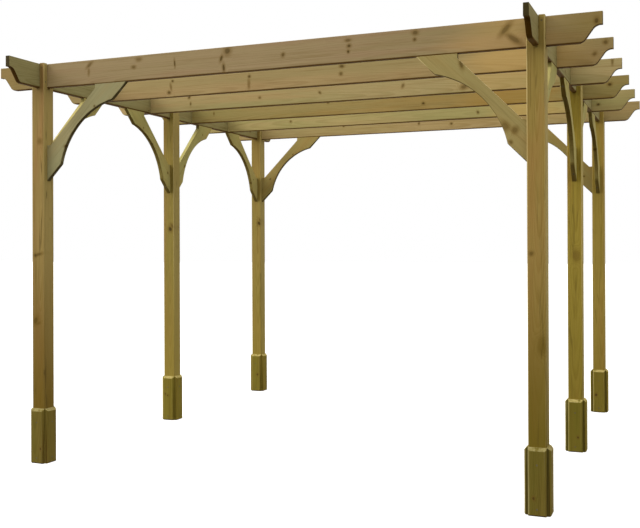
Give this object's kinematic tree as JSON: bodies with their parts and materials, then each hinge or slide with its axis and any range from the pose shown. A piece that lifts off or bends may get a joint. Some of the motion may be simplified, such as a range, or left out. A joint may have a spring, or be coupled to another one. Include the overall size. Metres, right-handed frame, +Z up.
{
  "type": "wooden pergola",
  "caption": "Square open timber pergola on six slotted posts, with flush rafters and side beams, shaped beam ends, curved braces and boarded post feet.",
  "frame": {"origin": "on the ground at the middle of the plan, under the centre of the roof", "axes": "+X along the rafters from left to right, +Y along the side beams from front to rear, +Z up"},
  "size_m": [3.6, 3.6, 2.424],
  "materials": {
    "post_timber": "pressure-treated softwood, planed, upright grain",
    "foot_board": "pressure-treated softwood, planed, greener and darker",
    "side_beam_timber": "pressure-treated softwood, planed, olive cast",
    "rafter_timber": "pressure-treated softwood, planed, warm tan with knots",
    "brace_timber": "pressure-treated softwood, planed faces and sawn curves",
    "screw": "zinc-plated steel, dulled"
  },
  "bodies": {
    "root": {"front_left_post": "post_timber", "front_left_foot_boards": "foot_board", "front_right_post": "post_timber", "front_right_foot_boards": "foot_board", "middle_left_post": "post_timber", "middle_left_foot_boards": "foot_board", "middle_right_post": "post_timber", "middle_right_foot_boards": "foot_board", "rear_left_post": "post_timber", "rear_left_foot_boards": "foot_board", "rear_right_post": "post_timber", "rear_right_foot_boards": "foot_board", "left_side_beam": "side_beam_timber", "right_side_beam": "side_beam_timber", "rafter_1": "rafter_timber", "rafter_2": "rafter_timber", "rafter_3": "rafter_timber", "rafter_4": "rafter_timber", "rafter_5": "rafter_timber", "rafter_6": "rafter_timber", "front_left_rafter_brace": "brace_timber", "front_right_rafter_brace": "brace_timber", "rear_left_rafter_brace": "brace_timber", "rear_right_rafter_brace": "brace_timber", "front_left_side_brace": "brace_timber", "front_right_side_brace": "brace_timber", "middle_left_front_side_brace": "brace_timber", "middle_left_rear_side_brace": "brace_timber", "middle_right_front_side_brace": "brace_timber", "middle_right_rear_side_brace": "brace_timber", "rear_left_side_brace": "brace_timber", "rear_right_side_brace": "brace_timber"}
  },
  "joints": []
}
